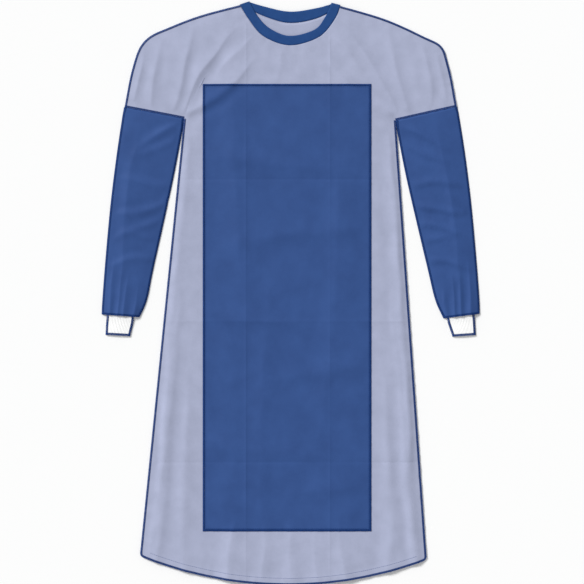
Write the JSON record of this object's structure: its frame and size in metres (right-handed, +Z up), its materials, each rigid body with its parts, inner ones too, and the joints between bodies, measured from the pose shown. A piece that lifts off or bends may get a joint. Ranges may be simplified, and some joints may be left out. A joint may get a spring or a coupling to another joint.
{
  "type": "surgical gown",
  "caption": "Long-sleeved surgical gown laid out flat, with dark reinforced sleeves and front panel, knitted cuffs, a round bound neck and lapping backs.",
  "frame": {"origin": "middle of the laid-out gown's plan, on the surface it lies on", "axes": "+Y from hem to neck, +Z up out of the front, +X to the right of someone facing the front"},
  "size_m": [0.83, 1.2831, 0.0088],
  "materials": {
    "gown_cloth": "matte nonwoven, lavender grey",
    "reinforced_cloth": "matte film-backed nonwoven, dark blue",
    "cuff_knit": "white rib knit",
    "band_cloth": "matte binding, dark blue"
  },
  "bodies": {
    "root": {"front": "gown_cloth", "back_left": "gown_cloth", "back_right": "gown_cloth", "front_reinforcement": "reinforced_cloth", "sleeve_left": "reinforced_cloth", "sleeve_right": "reinforced_cloth", "cuff_left": "cuff_knit", "cuff_right": "cuff_knit", "neck_band": "band_cloth"}
  },
  "joints": []
}
